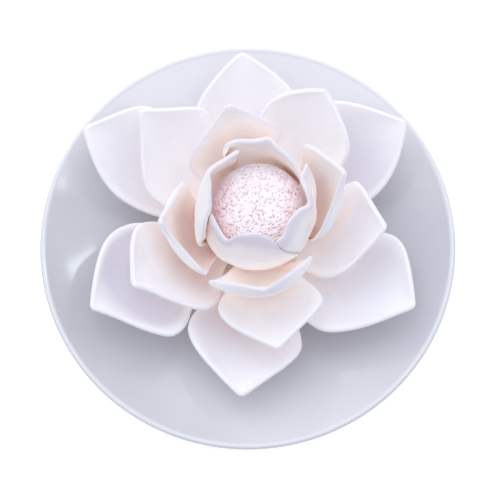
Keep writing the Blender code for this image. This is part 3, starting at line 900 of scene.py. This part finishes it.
def glaze_material():
    n = Nodes("glazed_porcelain_look")
    place = n.axes()
    bare = n.scale_to(place["Z"], *BARE_FOOT, 1, 0)
    drift = n.scale_to(n.noise(22, 3, 0.5), 0.3, 0.7, -12 * MM, 12 * MM)
    along = n.math("ADD", place["Y"], drift)
    # Painted light: the glaze is lighter towards the back and a little towards the front, darker across
    # the middle.
    tone = n.ramp(
        n.scale_to(along, -DISH_R, DISH_R, 0, 1),
        (0.05, (0.640, 0.652, 0.705)),
        (0.36, (0.535, 0.545, 0.600)),
        (0.58, (0.520, 0.530, 0.585)),
        (0.90, (0.760, 0.770, 0.815)),
    )
    # Painted shade towards the front left.
    towards = n.vector_math("DOT_PRODUCT", n.place, SHADED_SIDE)["Value"]
    tone = n.mix(n.scale_to(towards, *SHADED_FROM_TO, 0, 1), tone, (0.84, 0.84, 0.84), "MULTIPLY")
    flat = n.vector_math("MULTIPLY", n.place, (1, 1, 0))["Vector"]
    radius = n.vector_math("LENGTH", flat)["Value"]
    # Painted highlight along the lip.
    tone = n.mix(n.scale_to(radius, *LIP_HIGHLIGHT, 0, 1), tone, (0.66, 0.675, 0.73))
    # Painted shade on the lip's outer edge.
    outline = n.scale_to(radius, *LIP_EDGE_SHADE, 0, 0.8)
    tone = n.mix(outline, tone, (0.42, 0.43, 0.50))
    specks = n.scale_to(n.noise(900, 1, 0.4), 0.74, 0.80, 0, 0.25)
    tone = n.mix(specks, tone, (0.52, 0.51, 0.50))
    colour = n.mix(bare, tone, (0.74, 0.69, 0.62))
    roughness = n.scale_to(bare, 0, 1, 0.13, 0.85)
    ripple = n.bump(n.noise(75, 2, 0.5), 0.07 * MM, 0.5)
    return n.finish(
        Base_Color=colour, Roughness=roughness, Normal=ripple, Specular_IOR_Level=0.5,
        Coat_Weight=n.scale_to(bare, 0, 1, 0.4, 0), Coat_Roughness=0.06,
    )


# ---------------------------------------------------------------- pieces

pieces = []


def add_piece(name, mesh, material, node, body):
    mesh.materials.append(material)
    obj = bpy.data.objects.new(name, mesh)
    bpy.context.scene.collection.objects.link(obj)
    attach(obj, body)
    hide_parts(node)
    pieces.append(obj)


plaster = plaster_material()


def add_petal(node, surface, thickness, centre):
    mesh = petal_mesh(node, surface, thickness, centre, len(pieces))
    add_piece(node + "_look", mesh, plaster, node, "flower")


def open_row(prefix, row, petals):
    for number, petal in enumerate(petals, start=1):
        shape = {**row, **petal}
        add_petal(
            f"{prefix}_{number}", lambda t, v: petal_surface(shape, t, v), shape["thickness"],
            (FLOWER_X, FLOWER_Y, 0),
        )


dish_look = turned_mesh("glazed_dish", dish_profile(), DISH_STEPS)
add_piece("glazed_dish", dish_look, glaze_material(), "dish", "dish")
add_piece("clay_core", core_mesh(), clay_material(), "receptacle", "flower")
add_piece("porous_dome", dome_mesh(), stone_material(), "seed_head", "flower")
open_row("outer_petal", OUTER_ROW, OUTER_PETALS)
open_row("middle_petal", MIDDLE_ROW, MIDDLE_PETALS)
open_row("upper_petal", UPPER_ROW, UPPER_PETALS)
for name, petal in CUP_PETALS.items():
    add_petal(name, lambda t, v: cup_surface(petal, t, v), CUP_THICKNESS, (CUP_X, CUP_Y, 0))

mark_hollows(pieces)

# ---------------------------------------------------------------- floor, lights and camera

FLOOR_SIDE = 4.0
floor_mesh = bpy.data.meshes.new("floor")
corners = [(x * FLOOR_SIDE, y * FLOOR_SIDE, 0) for x, y in ((-1, -1), (1, -1), (1, 1), (-1, 1))]
floor_mesh.from_pydata(corners, [], [(0, 1, 2, 3)])
floor = bpy.data.objects.new("floor", floor_mesh)
bpy.context.scene.collection.objects.link(floor)
floor_look = Nodes("pale_floor").finish(
    Base_Color=(0.93, 0.93, 0.93, 1), Roughness=0.9, Specular_IOR_Level=0.0,
    Emission_Color=(1, 1, 1, 1), Emission_Strength=0.30,
)
floor_mesh.materials.append(floor_look)

LIGHTS_AIM = (0, 0, 20 * MM)  # all lights face this point


def area_light(name, position, size, power, colour=(1, 1, 1)):
    light = bpy.data.lights.new(name, "AREA")
    light.shape = "RECTANGLE"
    light.size, light.size_y = size
    light.energy = power
    light.color = colour
    obj = bpy.data.objects.new(name, light)
    obj.location = position
    obj.rotation_euler = (Vector(LIGHTS_AIM) - Vector(position)).to_track_quat("-Z", "Y").to_euler()
    bpy.context.scene.collection.objects.link(obj)


area_light("key", (-0.20, 0.50, 1.05), (0.8, 0.8), 1.45, (1.0, 0.99, 0.99))
area_light("window", (0.42, 0.27, 0.66), (0.07, 0.15), 0.19, (0.88, 1.0, 1.0))
area_light("small_window", (0.51, 0.04, 0.61), (0.035, 0.035), 0.02)

world = bpy.data.worlds.new("soft_tent")
bpy.context.scene.world = world
world.use_nodes = True
sky = world.node_tree
background = sky.nodes["Background"]
background.inputs["Color"].default_value = (0.95, 0.955, 1.0, 1)
towards = sky.nodes.new("ShaderNodeVectorMath")
towards.operation = "DOT_PRODUCT"
towards.inputs[1].default_value = Vector((-0.15, 0.50, 0.85)).normalized()
sky.links.new(sky.nodes.new("ShaderNodeTexCoord").outputs["Generated"], towards.inputs[0])
brightness = sky.nodes.new("ShaderNodeMapRange")
for key, value in (("From Min", -0.2), ("From Max", 1.0), ("To Min", 0.52), ("To Max", 1.46)):
    brightness.inputs[key].default_value = value
sky.links.new(towards.outputs["Value"], brightness.inputs["Value"])
sky.links.new(brightness.outputs["Result"], background.inputs["Strength"])

camera_data = bpy.data.cameras.new("camera")
camera_data.lens = CAMERA_LENS
camera_data.sensor_width = CAMERA_SENSOR
camera = bpy.data.objects.new("camera", camera_data)
bpy.context.scene.collection.objects.link(camera)
bpy.context.scene.camera = camera
elevation = radians(CAMERA_ELEVATION)
back = Vector((0, -cos(elevation), sin(elevation)))
right, upward = Vector((1, 0, 0)), Vector((0, sin(elevation), cos(elevation)))
aim = Vector((0, 0, DISH_H)) + right * AIM_RIGHT - upward * AIM_DOWN
camera.location = aim + back * CAMERA_DISTANCE
camera.rotation_euler = (-back).to_track_quat("-Z", "Y").to_euler()

bpy.context.scene.view_settings.view_transform = "Standard"
